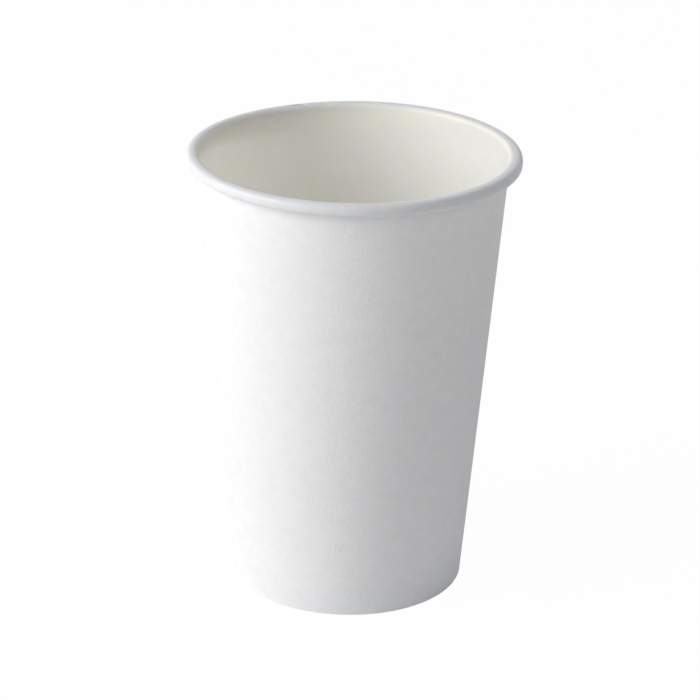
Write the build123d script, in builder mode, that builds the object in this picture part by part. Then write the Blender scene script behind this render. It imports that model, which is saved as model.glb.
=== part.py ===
from build123d import *
import os
from math import acos, atan2, cos, degrees, hypot, radians, sin

# A single-wall paper cup that stands on its foot, with its axis on Z and the table at zero.
# It is two pieces of board: a wrapped side wall with a rolled rim, a lapped seam and a folded foot,
# and a base disc whose down-turned skirt is sealed inside that fold.

# Driving dimensions, in millimetres and degrees
height = 109.0  # from the table to the top of the rim
rim_diameter = 80.0  # over the rolled rim
foot_diameter = 56.2  # the wall's outer face, carried down to the table
wall_board = 0.35  # thickness of the side wall
base_board = 0.30  # thickness of the base disc
seal_gap = 0.03  # sealing film on each side of the skirt
rim_roll = 3.2  # thickness of the rolled rim, from outside to outside
roll_gap = 0.12  # air between the rolled edge and the wall
roll_return = 165.0  # turn from the rim's widest line back under to the rolled edge
base_recess = 8.0  # from the table to the underside of the base
base_bend = 0.5  # inner radius where the disc turns down into its skirt
hem_drop = 1.6  # from the underside of the base down to the hem's edge
fold_radius = 0.08  # inner radius of the two bends of the foot fold
seam_angle = 100.0  # where the seam's outer cut edge stands, from +X, seen from above
seam_lap = 9.0  # how far round the cup the two edges overlap
seam_ramp = 3.0  # how far round the outer edge takes to climb onto the inner one
seam_step = 0.22  # how far the pressed overlap stands out from the wall
channel_sweep = 1.0  # how far round the open channel beside the inner cut edge reaches
channel_depth = 0.16

# The wall's outer face is a line from the foot's corner to the inside of the roll
roll_radius = rim_roll / 2
roll_centre = Vector(rim_diameter / 2 - roll_radius, height - roll_radius)
foot_corner = Vector(foot_diameter / 2, 0)
span = roll_centre - foot_corner
taper = acos((roll_radius - wall_board) / hypot(span.X, span.Y)) - atan2(span.Y, span.X)
taper_degrees = degrees(taper)
up = Vector(sin(taper), cos(taper))
out = Vector(cos(taper), -sin(taper))


def climb(start, z):
    """The point at height z on the line through start that runs up the wall's slope."""
    return start + up * ((z - start.Y) / up.Y)


# Centre line of the roll, which tightens on its way back under the rim
roll_over = roll_radius - wall_board / 2
roll_tighter = (wall_board + roll_gap) / 2
wall_top = roll_centre - out * roll_over

# Centre line of the foot fold, which wraps the end of the skirt
bend = fold_radius + wall_board / 2
bend_rise = (wall_board / 2 + bend) * (1 - up.X) / up.Y
wall_bottom = foot_corner - out * (wall_board / 2) + up * bend_rise
fold_width = wall_board + base_board + 2 * seal_gap
fold_flat = Vector((fold_width - 2 * bend) / out.X, 0)
hem_bottom = wall_bottom - out * (2 * bend) - fold_flat
hem_edge = climb(hem_bottom, base_recess - hem_drop)

# Centre line of the base disc and of the skirt that follows the wall down into the fold
disc_height = base_recess + base_board / 2
disc_bend = base_bend + base_board / 2
skirt_line = foot_corner - out * (wall_board + seal_gap + base_board / 2)
bend_centre = climb(skirt_line - out * disc_bend, disc_height - disc_bend)
disc_edge = bend_centre + Vector(0, disc_bend)
skirt_top = bend_centre + out * disc_bend
skirt_end = climb(skirt_line, wall_board + fold_radius)

# The overlap stands out between the foot fold and the roll, and is rooted inside the board
lap_bottom = wall_board + fold_radius
lap_top = roll_centre.Y - roll_radius / 2
lap_root = wall_board / 2
lap_end = seam_lap + seam_ramp * (seam_step + lap_root) / seam_step
channel_foot = climb(foot_corner - out * wall_board, lap_bottom)
channel_top = roll_centre - out * roll_radius

with BuildPart() as side_wall:
    # The board's section, from the hem's edge down, round the foot, up the wall and into the roll
    with BuildSketch(Plane.XZ):
        with BuildLine():
            hem = Line(hem_edge, hem_bottom)
            inner_bend = JernArc(hem @ 1, hem % 1, bend, 90 + taper_degrees)
            flat = Line(inner_bend @ 1, inner_bend @ 1 + fold_flat)
            outer_bend = JernArc(flat @ 1, flat % 1, bend, 90 - taper_degrees)
            wall = Line(outer_bend @ 1, wall_top)
            over = JernArc(wall @ 1, wall % 1, roll_over, -180)
            JernArc(over @ 1, over % 1, roll_over - roll_tighter, -roll_return)
        trace(line_width=wall_board)
    revolve()

    # The overlap on the outside: a cut edge, the doubled board and a ramp back to the wall
    for z in (lap_bottom, lap_top):
        face_radius = climb(foot_corner, z).X
        crest = face_radius + seam_step
        root = face_radius - lap_root
        ramp_foot = (root * cos(radians(lap_end)), root * sin(radians(lap_end)))
        with BuildSketch(Plane.XY.offset(z).rotated((0, 0, seam_angle))):
            with BuildLine():
                Line((root, 0), (crest, 0))
                doubled = CenterArc((0, 0), crest, 0, seam_lap)
                Line(doubled @ 1, ramp_foot)
                CenterArc((0, 0), root, 0, lap_end)
            make_face()
    loft(ruled=True)

    # The channel beside the inner cut edge, up the inside of the wall and over the rim
    with BuildSketch(Plane.XZ.rotated((0, 0, seam_angle + seam_lap))):
        with BuildLine():
            inside = Line(channel_foot, channel_top)
            crown = JernArc(inside @ 1, inside % 1, roll_radius, -180)
            JernArc(crown @ 1, crown % 1, roll_radius - roll_tighter, -90)
        trace(line_width=2 * channel_depth)
    revolve(revolution_arc=channel_sweep, mode=Mode.SUBTRACT)

with BuildPart() as bottom_disc:
    with BuildSketch(Plane.XZ):
        with BuildLine():
            disc = Line((0, disc_height), disc_edge)
            JernArc(disc @ 1, disc % 1, disc_bend, -90 - taper_degrees)
            Line(skirt_top, skirt_end)
        trace(line_width=base_board)
    revolve()

side_wall.part.label = "side_wall"
bottom_disc.part.label = "bottom_disc"

os.makedirs("parts", exist_ok=True)
export_step(side_wall.part, "parts/side_wall.step")
export_step(bottom_disc.part, "parts/bottom_disc.step")
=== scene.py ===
import bpy
from collections import namedtuple
from math import acos, atan2, cos, degrees, hypot, pi, radians, sin
from mathutils import Euler, Matrix, Vector


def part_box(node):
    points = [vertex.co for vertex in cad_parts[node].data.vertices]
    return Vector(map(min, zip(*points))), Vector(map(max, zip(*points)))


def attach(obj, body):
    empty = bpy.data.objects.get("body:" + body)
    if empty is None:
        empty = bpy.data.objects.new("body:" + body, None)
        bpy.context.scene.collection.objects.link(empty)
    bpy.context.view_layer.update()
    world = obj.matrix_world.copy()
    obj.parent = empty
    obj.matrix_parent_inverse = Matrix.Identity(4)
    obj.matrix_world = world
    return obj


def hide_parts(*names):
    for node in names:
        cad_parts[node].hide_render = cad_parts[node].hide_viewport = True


# A white paper coffee cup: one wrapped and rolled side wall, and a base disc sealed into its foot.
# Lengths are in metres and angles in degrees. The cup stands on zero with its axis on Z.
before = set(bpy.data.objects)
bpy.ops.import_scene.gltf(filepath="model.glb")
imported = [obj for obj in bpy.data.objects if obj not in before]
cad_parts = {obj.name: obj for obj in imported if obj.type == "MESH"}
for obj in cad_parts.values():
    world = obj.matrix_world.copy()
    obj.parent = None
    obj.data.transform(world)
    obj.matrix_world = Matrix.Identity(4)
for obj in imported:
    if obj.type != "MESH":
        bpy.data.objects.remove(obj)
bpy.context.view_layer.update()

# The size of the cup comes from the frame
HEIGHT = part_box("side_wall")[1].z
RIM_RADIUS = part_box("side_wall")[1].y
BASE_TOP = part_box("bottom_disc")[1].z

# The board and its folds, as the part has them
FOOT_RADIUS = 0.0281
WALL_BOARD = 0.00035
BASE_BOARD = 0.0003
SEAL_GAP = 0.00003
ROLL_RADIUS = 0.0016
ROLL_GAP = 0.00012
ROLL_RETURN = 165.0
BASE_BEND = 0.0005
HEM_DROP = 0.0016
FOLD_RADIUS = 0.00008

# The lapped seam at the back of the cup, with angles round the cup from +X.
# The lap fades out over SEAM_FADE at the foot and below the roll.
SEAM_ANGLE = 100.0
SEAM_LAP = 9.0
SEAM_RAMP = 3.0
SEAM_STEP = 0.00022
SEAM_FADE = 0.0009
LAP_TOP_DROP = 0.00256
CHANNEL_SWEEP = 1.0
CHANNEL_DEPTH = 0.000035
CUT_SHARPNESS = 0.012

# A small crease that the roll has where it crosses the seam.
# Its turn and reach are angles round the roll, and its run-out is a share of its sweep at each end.
PINCH_ANGLE = 108.0
PINCH_SWEEP = 6.0
PINCH_RUN_OUT = 0.25
PINCH_TURN = 74.0
PINCH_REACH = 12.0
PINCH_DEPTH = 0.0008

# The roll is pressed a little square, with a flat top and an upright face.
# Just below its widest line it is also looser on the right and tighter on the left.
ROLL_SQUARE = 0.00012
ROLL_SQUARE_FADE = (250.0, 330.0)
ROLL_LOOSE = 0.0002
ROLL_TIGHT = -0.00036
ROLL_LOOSE_ANGLE = 0.0
ROLL_LOOSE_TURN = (60.0, 350.0)

# What handling and pressing leave on the board, with the gathers' phase in radians
HEM_RIBS = 90
HEM_RIB_DEPTH = 0.00007
RIM_OVAL = 0.00025
RIM_OVAL_ANGLE = 110.0
RIM_DIP = 0.0003
RIM_DIP_ANGLE = 122.0
RIM_DIP_FOCUS = 4
BASE_SAG = 0.00018
GATHERS = 72
GATHER_DEPTH = 0.00005
GATHER_EVENNESS = 0.6
GATHER_WAVES = 7
GATHER_PHASE = 1.3

# How finely the board is divided, with the clearance as a share of one column
FULL_TURN = 360.0
COLUMNS = 540
COLUMN_CLEARANCE = 0.25
WALL_ROWS = 16
HEM_ROWS = 6
ROLL_ROWS = 32
RETURN_ROWS = 14
FOLD_ROWS = 5
BASE_BEND_ROWS = 10
DISC_ROWS = 26
SMOOTH_ANGLE = 32.0

# Board colours, dark and light, as linear reflectance
OUTER_TONES = ((0.836, 0.837, 0.840), (0.896, 0.897, 0.900))
INNER_TONES = ((0.952, 0.930, 0.842), (0.974, 0.954, 0.874))
# The rim tones are painted shade: they make the roll greyer and darker than its own coated face, for the
# light that it lacks.
RIM_SHADE_TONES = ((0.815, 0.816, 0.820), (0.865, 0.866, 0.870))
EDGE_TONES = ((0.74, 0.71, 0.65), (0.84, 0.82, 0.77))

# Distances from the axis over which the roll comes to back the wall, and the inside turns into the rim's
# painted shade
BACKED_BLEND = (0.0365, 0.03672)
RIM_BLEND = (0.0368, 0.0376)

# Roughness of the board's faces, least and most
OUTER_GLOSS = (0.62, 0.78)
INNER_GLOSS = (0.40, 0.52)
EDGE_GLOSS = (0.85, 0.95)
SPECULAR = 0.4

# Size of the clouds and the grain in the board's faces, and depth of the grain and the fibres
OUTER_SURFACE = {"cloud": 0.0028, "grain": 0.0009, "grain_depth": 0.00007, "fibre_depth": 0.00003}
INNER_SURFACE = {"cloud": 0.0030, "grain": 0.0012, "grain_depth": 0.00005, "fibre_depth": 0.00002}
EDGE_SURFACE = {"cloud": 0.0012, "grain": 0.0003, "grain_depth": 0.00003, "fibre_depth": 0.00003}

# Detail and roughness of each noise, the part of its range that is used, and the shares of the fibres
CLOUD_NOISE = (3.0, 0.55)
FIBRE_NOISE = (4.0, 0.6)
GRAIN_NOISE = (2.0, 0.5)
NOISE_RANGE = (0.3, 0.7)
FLECK_SHARE = 0.45
FIBRE_STRETCH = 0.35
FIBRE_SIZE = 0.5

# The share of light that passes into the board. Its warm end goes furthest.
OUTER_GLOW = 0.25
INNER_GLOW = 0.75
BACKED_GLOW = 0.15
BASE_GLOW = 0.15
RIM_GLOW = 0.45
BOARD_GLOW_TINT = (1.0, 0.92, 0.74)
BOARD_GLOW_REACH = 0.0012

# The camera, from a fit of the cup's outline in the photo, with lens and sensor in millimetres
CAMERA_DISTANCE = 0.6825
CAMERA_PITCH = 22.60
CAMERA_ROLL = 0.89
CAMERA_LENS = 144.1
CAMERA_SENSOR = 36.0
CAMERA_SHIFT = (-0.0006, 0.018)

# The lamp, with its bearing clockwise from +Y, seen from above
KEY_BEARING = 250.0
KEY_ELEVATION = 24.0
KEY_DISTANCE = 1.2
KEY_SIZE = (0.7, 0.95)
KEY_POWER = 11.1
KEY_TINT = (1.0, 0.99, 0.97)

# The light all round, as elevations and the share of the light that comes from there
WORLD_LEVEL = 0.86
WORLD_TINT = (0.98, 0.99, 1.02)
WORLD_BAND = ((17.0, 0.0), (23.0, 1.0), (41.0, 1.0), (49.0, 0.1), (62.0, 0.1), (70.0, 0.45))

# The floor, of which the camera sees this share as plain white and the rest as lit
FLOOR_SIZE = 12.0
FLOOR_COLOUR = (0.92, 0.92, 0.92)
FLOOR_WHITE = 0.98
WHITE = (1.0, 1.0, 1.0, 1.0)

Station = namedtuple("Station", "place heading part")
Point = namedtuple("Point", "place normal part inner")


# Section of the board

class Path:
    """A line in the cup's section, walked from a start point with a station at every step."""

    def __init__(self, start, heading):
        self.place = Vector(start)
        self.heading = heading
        self.stations = []

    def mark(self, part):
        """Notes where the walk has come to."""
        self.stations.append(Station(self.place.copy(), self.heading, part))

    def go(self, length, rows, part):
        """Walks straight on."""
        step = Vector((cos(self.heading), sin(self.heading))) * (length / rows)
        for _ in range(rows):
            self.mark(part)
            self.place = self.place + step

    def turn(self, radius, angle, rows, part):
        """Walks round an arc, to the left for a positive angle in radians."""
        side = 1 if angle > 0 else -1
        centre = self.place + side * radius * Vector((-sin(self.heading), cos(self.heading)))
        for _ in range(rows):
            self.mark(part)
            self.heading += angle / rows
            self.place = centre - side * radius * Vector((-sin(self.heading), cos(self.heading)))


def wall_slope():
    """The wall's lean from upright, in radians, as a line from the foot's corner to the roll."""
    across = RIM_RADIUS - ROLL_RADIUS - FOOT_RADIUS
    rise = HEIGHT - ROLL_RADIUS
    return acos((ROLL_RADIUS - WALL_BOARD) / hypot(across, rise)) - atan2(rise, across)


LEAN = wall_slope()
UP = Vector((sin(LEAN), cos(LEAN)))
OUT = Vector((cos(LEAN), -sin(LEAN)))


def climb(start, z):
    """The point at height z on the line through start that runs up the wall's slope."""
    return start + UP * ((z - start.y) / UP.y)


def wall_path():
    """The wall board's centre line, from the hem's edge, round the foot, up and into the roll."""
    foot = Vector((FOOT_RADIUS, 0))
    bend = FOLD_RADIUS + WALL_BOARD / 2
    rise = (WALL_BOARD / 2 + bend) * (1 - UP.x) / UP.y
    wall_bottom = foot - OUT * (WALL_BOARD / 2) + UP * rise
    flat = (WALL_BOARD + BASE_BOARD + 2 * SEAL_GAP - 2 * bend) / OUT.x
    hem_bottom = wall_bottom - OUT * (2 * bend) - Vector((flat, 0))
    base_underside = BASE_TOP - BASE_BOARD
    hem_edge = climb(hem_bottom, base_underside - HEM_DROP)
    roll = ROLL_RADIUS - WALL_BOARD / 2
    roll_centre = Vector((RIM_RADIUS - ROLL_RADIUS, HEIGHT - ROLL_RADIUS))
    wall_top = roll_centre - OUT * roll
    tighter = roll - (WALL_BOARD + ROLL_GAP) / 2
    path = Path(hem_edge, -pi / 2 - LEAN)
    path.go((hem_edge - hem_bottom).length, HEM_ROWS, "hem")
    path.turn(bend, pi / 2 + LEAN, FOLD_ROWS, "fold")
    path.go(flat, 1, "fold")
    path.turn(bend, pi / 2 - LEAN, FOLD_ROWS, "fold")
    path.go((wall_top - path.place).length, WALL_ROWS, "wall")
    path.turn(roll, -pi, ROLL_ROWS, "roll")
    path.turn(tighter, -radians(ROLL_RETURN), RETURN_ROWS, "roll")
    path.mark("roll")
    return path.stations


def base_path():
    """The base board's centre line, from the middle of the disc, over the bend and down the skirt."""
    height = BASE_TOP - BASE_BOARD / 2
    bend = BASE_BEND + BASE_BOARD / 2
    skirt = Vector((FOOT_RADIUS, 0)) - OUT * (WALL_BOARD + SEAL_GAP + BASE_BOARD / 2)
    bend_centre = climb(skirt - OUT * bend, height - bend)
    skirt_end = climb(skirt, WALL_BOARD + FOLD_RADIUS)
    path = Path((0, height), 0)
    path.go(bend_centre.x, DISC_ROWS, "disc")
    path.turn(bend, -pi / 2 - LEAN, BASE_BEND_ROWS, "bend")
    path.go((path.place - skirt_end).length, HEM_ROWS, "skirt")
    path.mark("skirt")
    return path.stations


# Pressed and lapped detail

def even_columns():
    """Even angles round the cup."""
    return [k * FULL_TURN / COLUMNS for k in range(COLUMNS)]


def seam_columns():
    """Even angles round the cup, with extra ones at the edges of the seam."""
    inner_cut = SEAM_ANGLE + SEAM_LAP
    special = [SEAM_ANGLE, SEAM_ANGLE + CUT_SHARPNESS, inner_cut, inner_cut + CUT_SHARPNESS]
    special += [inner_cut + CHANNEL_SWEEP, inner_cut + SEAM_RAMP]
    clearance = COLUMN_CLEARANCE * FULL_TURN / COLUMNS
    clear = [a for a in even_columns() if min(abs(a - s) for s in special) > clearance]
    return sorted(clear + special)


def clamp(x):
    """A number held between 0 and 1."""
    return min(max(x, 0.0), 1.0)


def ease(x):
    """A smooth step from 0 at or below 0 to 1 at or above 1."""
    x = clamp(x)
    return x * x * (3 - 2 * x)


def swing(x):
    """A number between -1 and 1, carried to between 0 and 1."""
    return (1 + x) / 2


def lap_height(angle):
    """How far the overlap stands out of the wall's outer face at this angle."""
    past = angle - SEAM_ANGLE
    if past < CUT_SHARPNESS / 2:
        return 0.0
    return SEAM_STEP * (1 - ease((past - SEAM_LAP) / SEAM_RAMP))


def channel_depth(angle):
    """How deep the channel beside the inner cut edge is at this angle."""
    past = angle - SEAM_ANGLE - SEAM_LAP
    if past < CUT_SHARPNESS / 2:
        return 0.0
    return CHANNEL_DEPTH * (1 - ease(past / CHANNEL_SWEEP))


def roll_turn(place):
    """How far round the roll a point is, in degrees from the inside of the cup over the top."""
    rise = place.y - HEIGHT + ROLL_RADIUS
    inwards = RIM_RADIUS - ROLL_RADIUS - place.x
    return degrees(atan2(rise, inwards)) % FULL_TURN


def pinch_depth(place, angle):
    """How deep the crease in the roll is, along the rim and round the roll."""
    along = (angle - PINCH_ANGLE) / PINCH_SWEEP
    across = abs(roll_turn(place) - PINCH_TURN) / PINCH_REACH
    length = ease(along / PINCH_RUN_OUT) * ease((1 - along) / PINCH_RUN_OUT)
    return PINCH_DEPTH * length * (1 - ease(across))


def roll_press(place, angle):
    """How far the roll stands out from a true circle."""
    turn = roll_turn(place)
    fall, end = ROLL_SQUARE_FADE
    square = ROLL_SQUARE * sin(radians(2 * turn)) ** 2 * ease((end - turn) / (end - fall))
    start, stop = ROLL_LOOSE_TURN
    bulge = sin(pi * clamp((turn - start) / (stop - start))) ** 2
    facing = swing(cos(radians(angle - ROLL_LOOSE_ANGLE)))
    return square + bulge * (ROLL_TIGHT + (ROLL_LOOSE - ROLL_TIGHT) * facing)


def wall_shift(part, inner, place, angle):
    """How far a point of the wall board moves along its own face's normal."""
    fade = ease((place.y - WALL_BOARD) / SEAM_FADE)
    if part == "roll":
        press = roll_press(place, angle) - pinch_depth(place, angle)
        return press - channel_depth(angle) if inner else -press
    if part == "wall" and inner:
        return -channel_depth(angle) * fade
    if part == "wall":
        return lap_height(angle) * fade * ease((HEIGHT - LAP_TOP_DROP - place.y) / SEAM_FADE)
    if part == "hem":
        rib = HEM_RIB_DEPTH * swing(sin(radians(angle) * HEM_RIBS)) * fade
        return -rib if inner else rib
    return 0.0


def base_shift(part, inner, place, angle):
    """How far a point of the base board moves along its own face's normal."""
    turn = radians(angle)
    if part == "disc":
        sag = -BASE_SAG * (1 - ease(place.x / FOOT_RADIUS))
        return sag if inner else -sag
    if part == "bend":
        strength = GATHER_EVENNESS + (1 - GATHER_EVENNESS) * sin(turn * GATHER_WAVES + GATHER_PHASE)
        gather = -GATHER_DEPTH * swing(sin(turn * GATHERS) * strength)
        return gather if inner else -gather
    return 0.0


def rim_growth(place):
    """Zero at the foot and one at the rim, and mostly near the rim."""
    return (place.y / HEIGHT) ** 2


def oval(place, angle):
    """The rim is a little out of round, and the foot isn't."""
    return RIM_OVAL * cos(2 * radians(angle - RIM_OVAL_ANGLE)) * rim_growth(place)


def dip(place, angle):
    """The rim is a little low on one side, and the foot is level."""
    near = max(cos(radians(angle - RIM_DIP_ANGLE)), 0.0)
    return RIM_DIP * near ** RIM_DIP_FOCUS * rim_growth(place)


# Meshes

OUTER_FACE = 0
INNER_FACE = 1
CUT_EDGE = 2


def board_face(part, inner, edge, angle):
    """Which material a face takes: coated inside, bare outside, and raw where the board was cut."""
    lap_cut = part == "wall" and not inner and angle == SEAM_ANGLE
    if edge or lap_cut:
        return CUT_EDGE
    return INNER_FACE if inner else OUTER_FACE


def outline(stations, board):
    """The closed section of a board: along its left face, then back along its right face."""
    left = []
    right = []
    for place, heading, part in stations:
        normal = Vector((-sin(heading), cos(heading)))
        left.append(Point(place + normal * (board / 2), normal, part, True))
        right.append(Point(place - normal * (board / 2), -normal, part, False))
    return left + right[::-1]


def sweep_points(ring, angles, shift):
    """The points of a section turned to each angle and moved by shift, with one point on the axis."""
    points = []
    index = []
    for angle in angles:
        turn = radians(angle)
        column = []
        for i, (place, normal, part, inner) in enumerate(ring):
            on_axis = place.x == 0
            if on_axis and index:
                column.append(index[0][i])
                continue
            moved = place + normal * shift(part, inner, place, angle)
            radius = 0.0 if on_axis else moved.x + oval(place, angle)
            column.append(len(points))
            points.append((radius * cos(turn), radius * sin(turn), moved.y - dip(place, angle)))
        index.append(column)
    return points, index


def sweep_faces(ring, angles, index):
    """The faces between each column of points and the next, and the material of each face."""
    count = len(ring)
    half = count // 2
    faces = []
    materials = []
    for j, angle in enumerate(angles):
        here = index[j]
        there = index[(j + 1) % len(angles)]
        for i in range(count):
            k = (i + 1) % count
            corners = list(dict.fromkeys((here[i], here[k], there[k], there[i])))
            if len(corners) < 3:
                continue
            faces.append(corners)
            edge = i in (half - 1, count - 1)
            earlier = i if i < half else k
            materials.append(board_face(ring[earlier].part, ring[i].inner, edge, angle))
    return faces, materials


def sweep(name, stations, board, angles, shift):
    """A board swept round the cup's axis along a centre line."""
    ring = outline(stations, board)
    points, index = sweep_points(ring, angles, shift)
    faces, materials = sweep_faces(ring, angles, index)
    mesh = bpy.data.meshes.new(name)
    mesh.from_pydata(points, [], faces)
    mesh.polygons.foreach_set("material_index", materials)
    mesh.polygons.foreach_set("use_smooth", [True] * len(faces))
    mesh.set_sharp_from_angle(angle=radians(SMOOTH_ANGLE))
    piece = bpy.data.objects.new(name, mesh)
    bpy.context.scene.collection.objects.link(piece)
    return piece


# Materials

def new_material(name):
    """An empty material with its nodes and its shader."""
    material = bpy.data.materials.new(name)
    material.use_nodes = True
    nodes = material.node_tree.nodes
    return material, nodes, material.node_tree.links, nodes["Principled BSDF"]


def noise(nodes, links, place, size, detail, roughness):
    """Noise whose grain is about size metres across."""
    node = nodes.new("ShaderNodeTexNoise")
    node.inputs["Scale"].default_value = 1 / size
    node.inputs["Detail"].default_value = detail
    node.inputs["Roughness"].default_value = roughness
    links.new(place, node.inputs["Vector"])
    return node.outputs["Fac"]


def spread(nodes, links, value, low, high, to_low, to_high):
    """A value carried from one range to another, and held at its ends."""
    node = nodes.new("ShaderNodeMapRange")
    node.inputs["From Min"].default_value = low
    node.inputs["From Max"].default_value = high
    node.inputs["To Min"].default_value = to_low
    node.inputs["To Max"].default_value = to_high
    links.new(value, node.inputs["Value"])
    return node.outputs["Result"]


def blend_value(nodes, links, factor, first, second):
    """A number between two. They and the factor are each a plain number or a socket."""
    node = nodes.new("ShaderNodeMix")
    for name, value in (("Factor", factor), ("A", first), ("B", second)):
        if isinstance(value, float):
            node.inputs[name].default_value = value
        else:
            links.new(value, node.inputs[name])
    return node.outputs["Result"]


def blend_colour(nodes, links, factor, first, second):
    """A colour between two, each of them a plain colour or a socket."""
    node = nodes.new("ShaderNodeMix")
    node.data_type = "RGBA"
    links.new(factor, node.inputs["Factor"])
    for name, colour in (("A", first), ("B", second)):
        socket = next(i for i in node.inputs if i.name == name and i.type == "RGBA")
        if isinstance(colour, tuple):
            socket.default_value = (*colour, 1.0)
        else:
            links.new(colour, socket)
    return next(o for o in node.outputs if o.type == "RGBA")


def bump(nodes, links, height, depth):
    """A relief of this depth, from a height between 0 and 1."""
    node = nodes.new("ShaderNodeBump")
    node.inputs["Distance"].default_value = depth
    links.new(height, node.inputs["Height"])
    return node


def axis_distance(nodes, links, place):
    """The distance from the cup's axis, in metres."""
    flat = nodes.new("ShaderNodeMapping")
    flat.inputs["Scale"].default_value = (1.0, 1.0, 0.0)
    links.new(place, flat.inputs["Vector"])
    radius = nodes.new("ShaderNodeVectorMath")
    radius.operation = "LENGTH"
    links.new(flat.outputs["Vector"], radius.inputs[0])
    return radius.outputs["Value"]


def paper(name, tones, glow, gloss, surface, rim_shade_tones=None):
    """Cup board: cloudy in colour, with felted fibres and a grain in its face.

    With rim tones, the face changes over the rim to these greyer, darker tones of painted shade, and
    passes less light behind the roll.
    """
    material, nodes, links, shader = new_material(name)
    coordinates = nodes.new("ShaderNodeTexCoord")
    place = coordinates.outputs["Object"]
    stretched = nodes.new("ShaderNodeMapping")
    stretched.inputs["Scale"].default_value = (1.0, 1.0, FIBRE_STRETCH)
    links.new(place, stretched.inputs["Vector"])
    fibre_size = surface["grain"] * FIBRE_SIZE
    cloud = noise(nodes, links, place, surface["cloud"], *CLOUD_NOISE)
    fibre = noise(nodes, links, stretched.outputs["Vector"], fibre_size, *FIBRE_NOISE)
    grain = noise(nodes, links, place, surface["grain"], *GRAIN_NOISE)

    clouds = spread(nodes, links, cloud, *NOISE_RANGE, 0.0, 1.0)
    flecks = spread(nodes, links, fibre, *NOISE_RANGE, 0.0, 1.0)
    tone = blend_value(nodes, links, FLECK_SHARE, clouds, flecks)
    colour = blend_colour(nodes, links, tone, *tones)
    shader.inputs["Subsurface Weight"].default_value = glow
    if rim_shade_tones:
        # Painted shade: over the rim the coated face is blended to greyer, darker tones.
        radius = axis_distance(nodes, links, place)
        over_rim = spread(nodes, links, radius, *RIM_BLEND, 0.0, 1.0)
        rim_shade_colour = blend_colour(nodes, links, tone, *rim_shade_tones)
        colour = blend_colour(nodes, links, over_rim, colour, rim_shade_colour)
        wall_glow = spread(nodes, links, radius, *BACKED_BLEND, glow, BACKED_GLOW)
        weight = blend_value(nodes, links, over_rim, wall_glow, RIM_GLOW)
        links.new(weight, shader.inputs["Subsurface Weight"])
    links.new(colour, shader.inputs["Base Color"])
    shader.inputs["Subsurface Radius"].default_value = BOARD_GLOW_TINT
    shader.inputs["Subsurface Scale"].default_value = BOARD_GLOW_REACH

    links.new(spread(nodes, links, grain, *NOISE_RANGE, *gloss), shader.inputs["Roughness"])
    shader.inputs["Specular IOR Level"].default_value = SPECULAR
    felting = bump(nodes, links, grain, surface["grain_depth"])
    fibres = bump(nodes, links, fibre, surface["fibre_depth"])
    links.new(felting.outputs["Normal"], fibres.inputs["Normal"])
    links.new(fibres.outputs["Normal"], shader.inputs["Normal"])
    return material


# Pieces

def finish_piece(piece, materials, node):
    """Gives a piece its materials and lets it stand for a CAD node."""
    for material in materials:
        piece.data.materials.append(material)
    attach(piece, "root")
    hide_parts(node)


def make_cup():
    """The wrapped side wall, and the base disc in its foot, with materials in the order of the faces."""
    outer = paper("board_outside", OUTER_TONES, OUTER_GLOW, OUTER_GLOSS, OUTER_SURFACE)
    # The inside face takes the rim's painted shade tones over the roll.
    inner = paper("board_inside", INNER_TONES, INNER_GLOW, INNER_GLOSS, INNER_SURFACE, RIM_SHADE_TONES)
    edge = paper("board_edge", EDGE_TONES, OUTER_GLOW, EDGE_GLOSS, EDGE_SURFACE)
    base_inner = paper("base_inside", INNER_TONES, BASE_GLOW, INNER_GLOSS, INNER_SURFACE)
    wall = sweep("cup_wall", wall_path(), WALL_BOARD, seam_columns(), wall_shift)
    finish_piece(wall, (outer, inner, edge), "side_wall")
    base = sweep("cup_base", base_path(), BASE_BOARD, even_columns(), base_shift)
    finish_piece(base, (outer, base_inner, edge), "bottom_disc")


# Studio

def seen_directly(nodes, links):
    """One for a ray from the camera, a mirror or a glass, and zero for light that bounces about."""
    ray = nodes.new("ShaderNodeLightPath")
    first = nodes.new("ShaderNodeMath")
    first.operation = "MAXIMUM"
    links.new(ray.outputs["Is Camera Ray"], first.inputs[0])
    links.new(ray.outputs["Is Glossy Ray"], first.inputs[1])
    second = nodes.new("ShaderNodeMath")
    second.operation = "MAXIMUM"
    links.new(first.outputs["Value"], second.inputs[0])
    links.new(ray.outputs["Is Transmission Ray"], second.inputs[1])
    return second.outputs["Value"]


def make_floor():
    """A wide white floor that still takes the cup's shadow."""
    half = FLOOR_SIZE / 2
    corners = [(-half, -half, 0), (half, -half, 0), (half, half, 0), (-half, half, 0)]
    mesh = bpy.data.meshes.new("floor")
    mesh.from_pydata(corners, [], [(0, 1, 2, 3)])
    floor = bpy.data.objects.new("floor", mesh)
    bpy.context.scene.collection.objects.link(floor)
    material, nodes, links, shader = new_material("floor_white")
    nodes.remove(shader)
    diffuse = nodes.new("ShaderNodeBsdfDiffuse")
    diffuse.inputs["Color"].default_value = (*FLOOR_COLOUR, 1.0)
    glow = nodes.new("ShaderNodeEmission")
    glow.inputs["Color"].default_value = WHITE
    share = nodes.new("ShaderNodeMath")
    share.operation = "MULTIPLY"
    share.inputs[1].default_value = FLOOR_WHITE
    links.new(seen_directly(nodes, links), share.inputs[0])
    blend = nodes.new("ShaderNodeMixShader")
    links.new(share.outputs["Value"], blend.inputs["Fac"])
    links.new(diffuse.outputs["BSDF"], blend.inputs[1])
    links.new(glow.outputs["Emission"], blend.inputs[2])
    links.new(blend.outputs["Shader"], nodes["Material Output"].inputs["Surface"])
    mesh.materials.append(material)


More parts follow.
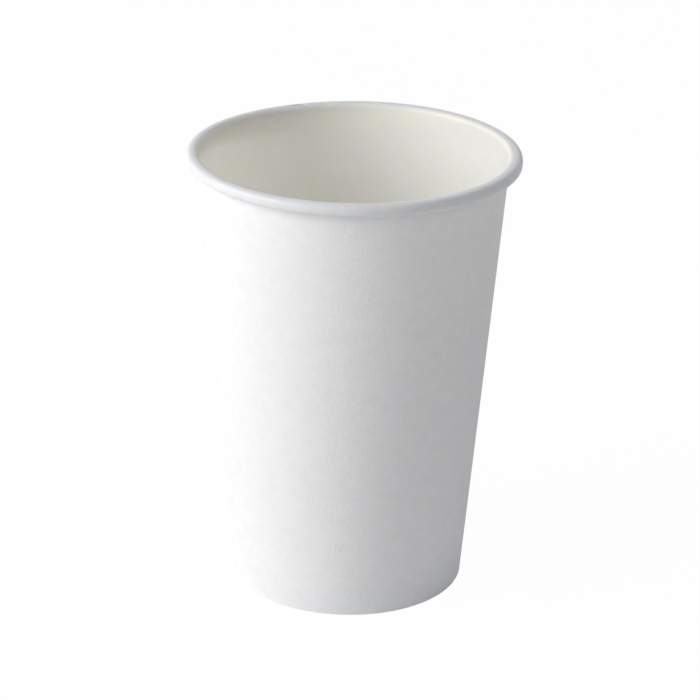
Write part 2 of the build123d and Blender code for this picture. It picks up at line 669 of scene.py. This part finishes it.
def make_world():
    """Soft, slightly cool light from a band all round and from overhead, with white behind the cup."""
    world = bpy.data.worlds.new("studio")
    bpy.context.scene.world = world
    world.use_nodes = True
    nodes = world.node_tree.nodes
    links = world.node_tree.links
    light = nodes["Background"]
    light.inputs["Strength"].default_value = WORLD_LEVEL
    direction = nodes.new("ShaderNodeTexCoord")
    parts = nodes.new("ShaderNodeSeparateXYZ")
    links.new(direction.outputs["Generated"], parts.inputs["Vector"])
    band = nodes.new("ShaderNodeValToRGB")
    stops = band.color_ramp.elements
    while len(stops) < len(WORLD_BAND):
        stops.new(1.0)
    for stop, (elevation, share) in zip(stops, WORLD_BAND):
        stop.position = sin(radians(elevation))
        stop.color = (*[share * tint for tint in WORLD_TINT], 1.0)
    links.new(parts.outputs["Z"], band.inputs["Fac"])
    links.new(band.outputs["Color"], light.inputs["Color"])
    white = nodes.new("ShaderNodeBackground")
    white.inputs["Color"].default_value = WHITE
    blend = nodes.new("ShaderNodeMixShader")
    links.new(seen_directly(nodes, links), blend.inputs["Fac"])
    links.new(light.outputs["Background"], blend.inputs[1])
    links.new(white.outputs["Background"], blend.inputs[2])
    links.new(blend.outputs["Shader"], nodes["World Output"].inputs["Surface"])


def make_key():
    """A tall soft lamp, low on the left."""
    lamp = bpy.data.lights.new("key", "AREA")
    lamp.shape = "RECTANGLE"
    lamp.size, lamp.size_y = KEY_SIZE
    lamp.energy = KEY_POWER
    lamp.color = KEY_TINT
    bearing = radians(KEY_BEARING)
    rise = radians(KEY_ELEVATION)
    towards = Vector((sin(bearing) * cos(rise), cos(bearing) * cos(rise), sin(rise)))
    key = bpy.data.objects.new("key", lamp)
    key.location = Vector((0, 0, HEIGHT / 2)) + towards * KEY_DISTANCE
    key.rotation_euler = towards.to_track_quat("Z", "Y").to_euler()
    bpy.context.scene.collection.objects.link(key)


def make_camera():
    """The photo's view: from the front and above, with a slight roll."""
    data = bpy.data.cameras.new("camera")
    data.lens = CAMERA_LENS
    data.sensor_width = CAMERA_SENSOR
    data.shift_x, data.shift_y = CAMERA_SHIFT
    camera = bpy.data.objects.new("camera", data)
    pitch = radians(CAMERA_PITCH)
    target = Vector((0, 0, HEIGHT / 2))
    camera.location = target + Vector((0, -cos(pitch), sin(pitch))) * CAMERA_DISTANCE
    look = Euler((pi / 2 - pitch, 0, 0)).to_matrix()
    tilt = Matrix.Rotation(radians(CAMERA_ROLL), 3, "Z")
    camera.rotation_euler = (look @ tilt).to_euler()
    bpy.context.scene.collection.objects.link(camera)
    bpy.context.scene.camera = camera


make_cup()
make_floor()
make_world()
make_key()
make_camera()
bpy.context.scene.view_settings.view_transform = "Standard"
